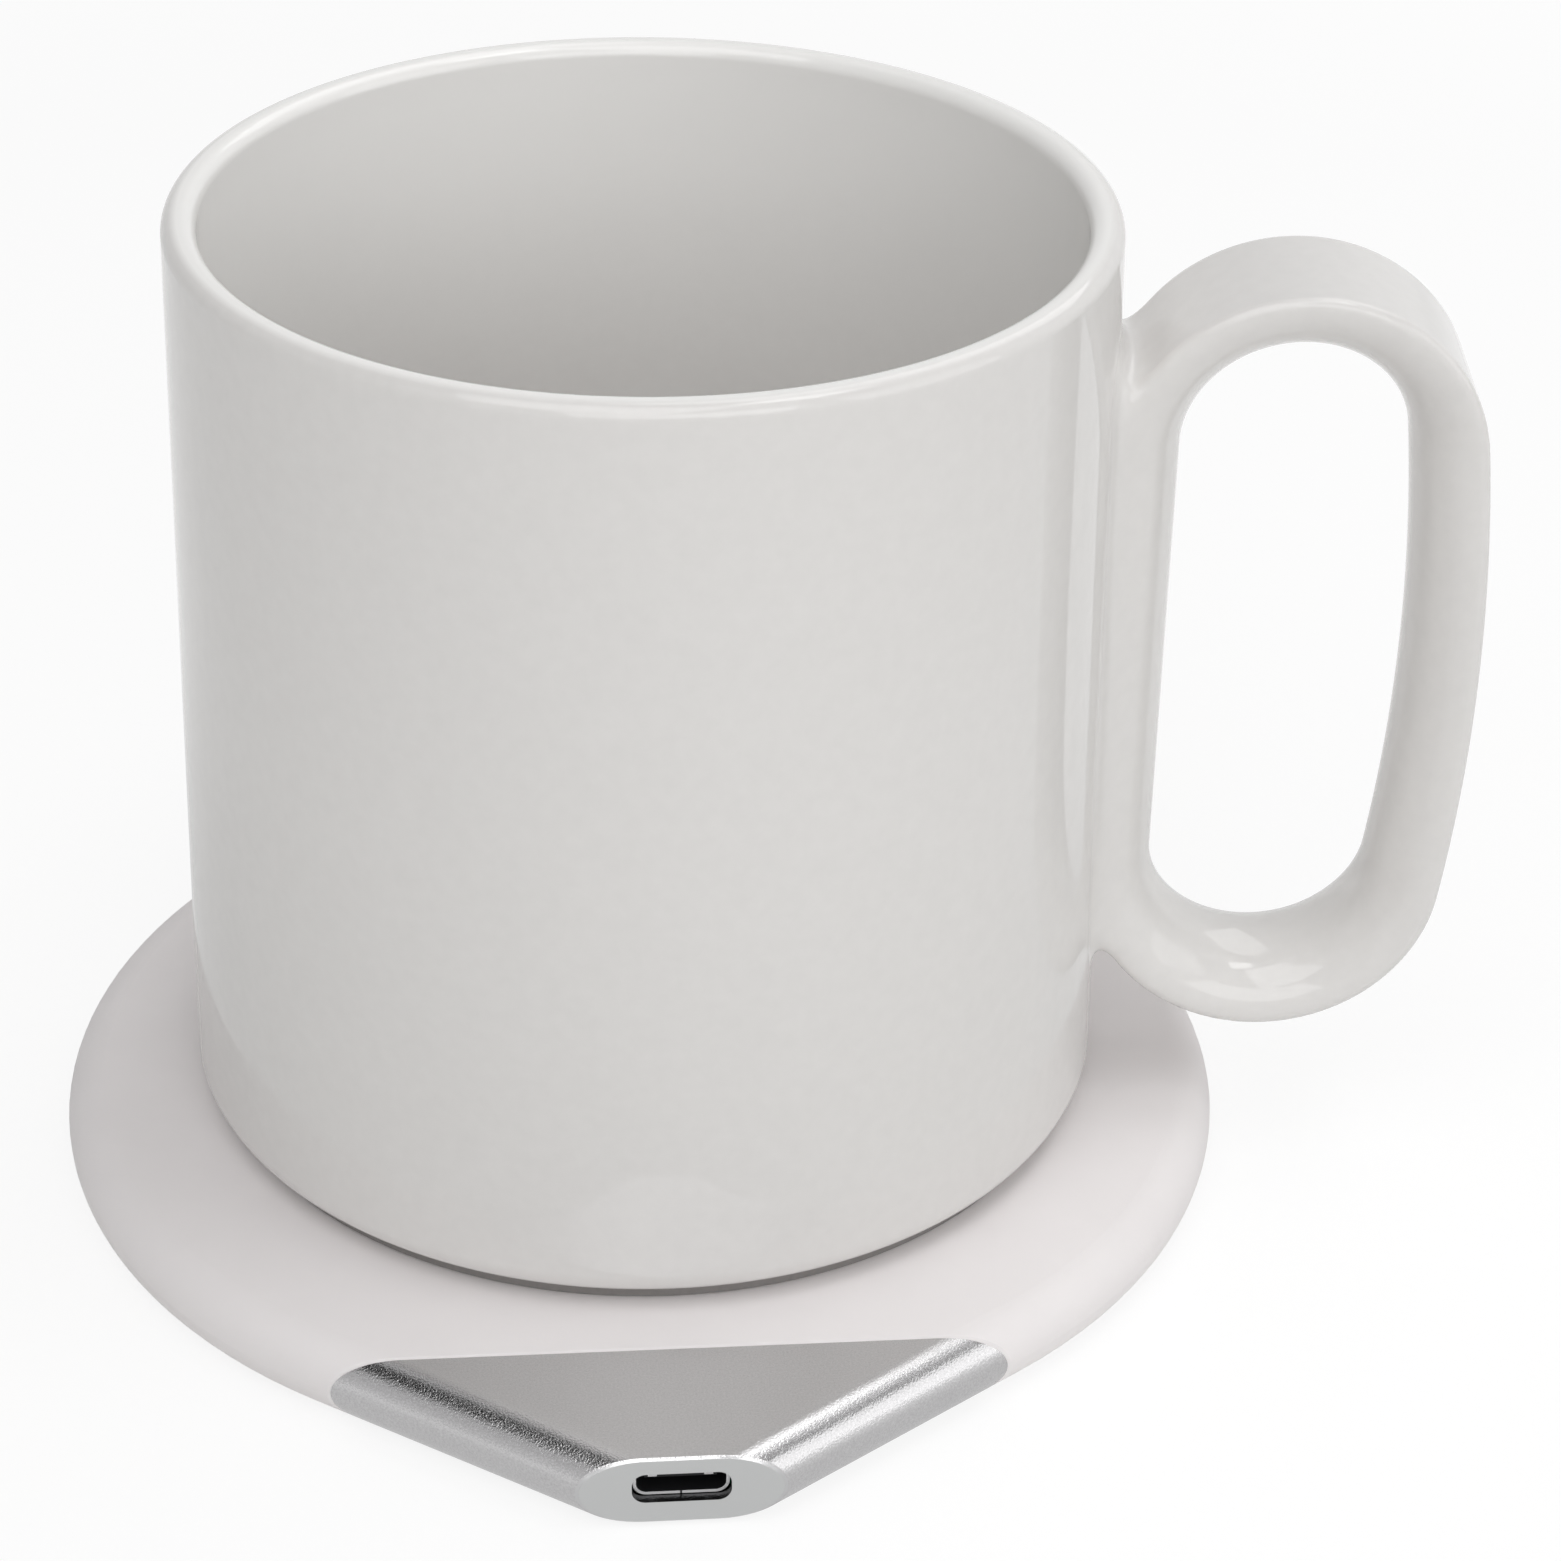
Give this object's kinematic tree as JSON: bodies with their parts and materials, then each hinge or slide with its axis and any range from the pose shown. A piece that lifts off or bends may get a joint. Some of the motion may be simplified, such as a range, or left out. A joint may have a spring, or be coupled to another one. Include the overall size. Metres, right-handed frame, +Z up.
{
  "type": "electric mug warmer",
  "caption": "Induction mug warmer: thin white teardrop pad with a silver USB-C nose, and a heated white mug with an oval ring handle that lifts off it.",
  "frame": {"origin": "on the table, under the centre of the pad's round part", "axes": "+Z up; the pad's USB-C nose points to -Y; the mug's handle is within a few degrees of +X"},
  "size_m": [0.1426, 0.1264, 0.1028],
  "materials": {
    "soft_touch_white": "moulded ABS with a soft-touch lacquer, warm white",
    "floor_plastic": "fine moulded texture, pale grey",
    "grey_silicone": "matte silicone",
    "blasted_aluminium": "bead-blasted and anodised, natural silver",
    "receptacle_steel": "nickel-plated stainless steel",
    "black_lcp": "moulded liquid-crystal polymer, black",
    "gold_plating": "gold-plated contacts",
    "black_abs": "moulded ABS, black",
    "ferrite": "pressed and sintered ferrite, dull dark grey",
    "litz_copper": "enamelled copper litz, satin",
    "amber_polyimide": "polyimide film, amber",
    "circuit_board": "glass-epoxy board with green solder mask",
    "powdered_iron": "pressed iron powder, dark grey",
    "chip_epoxy": "moulded epoxy, black",
    "capacitor_ceramic": "fired ceramic chip, tan",
    "screw_steel": "zinc-plated steel",
    "white_glaze": "clear gloss glaze over white stoneware",
    "dark_grey_plastic": "moulded heat-resistant plastic, dark grey",
    "glass_felt": "needled glass-fibre felt",
    "bead_glass": "glass-sealed bead",
    "lead_silicone": "silicone-insulated lead, white"
  },
  "bodies": {
    "pad": {"top_cover": "soft_touch_white", "bottom_cover": "floor_plastic", "antislip_pad": "grey_silicone", "port_nose": "blasted_aluminium", "usb_shell": "receptacle_steel", "usb_tongue": "black_lcp", "usb_contacts": "gold_plating", "coil_carrier": "black_abs", "transmitter_ferrite": "ferrite", "transmitter_coil": "litz_copper", "coil_leads": "litz_copper", "coil_thermistor": "amber_polyimide", "main_board": "circuit_board", "power_inductor": "powdered_iron", "control_chip": "chip_epoxy", "power_transistors": "chip_epoxy", "resonant_capacitors": "capacitor_ceramic", "carrier_screws": "screw_steel", "board_screws": "screw_steel", "cover_screws": "screw_steel", "nose_screws": "screw_steel"},
    "mug": {"mug_body": "white_glaze", "mug_handle": "white_glaze", "base_cap": "dark_grey_plastic", "cap_seal": "grey_silicone", "receiver_coil": "litz_copper", "receiver_ferrite": "ferrite", "receiver_leads": "litz_copper", "receiver_board": "circuit_board", "receiver_screws": "screw_steel", "rectifier_chips": "chip_epoxy", "smoothing_capacitors": "capacitor_ceramic", "heating_film": "amber_polyimide", "insulation_pad": "glass_felt", "film_thermistor": "bead_glass", "thermal_cutout": "receptacle_steel", "heater_leads": "lead_silicone"}
  },
  "joints": [
    {"name": "mug_lift", "type": "slide", "parent": "pad", "child": "mug", "axis": [0, 0, 1], "range_m": [0, 0.1]}
  ]
}
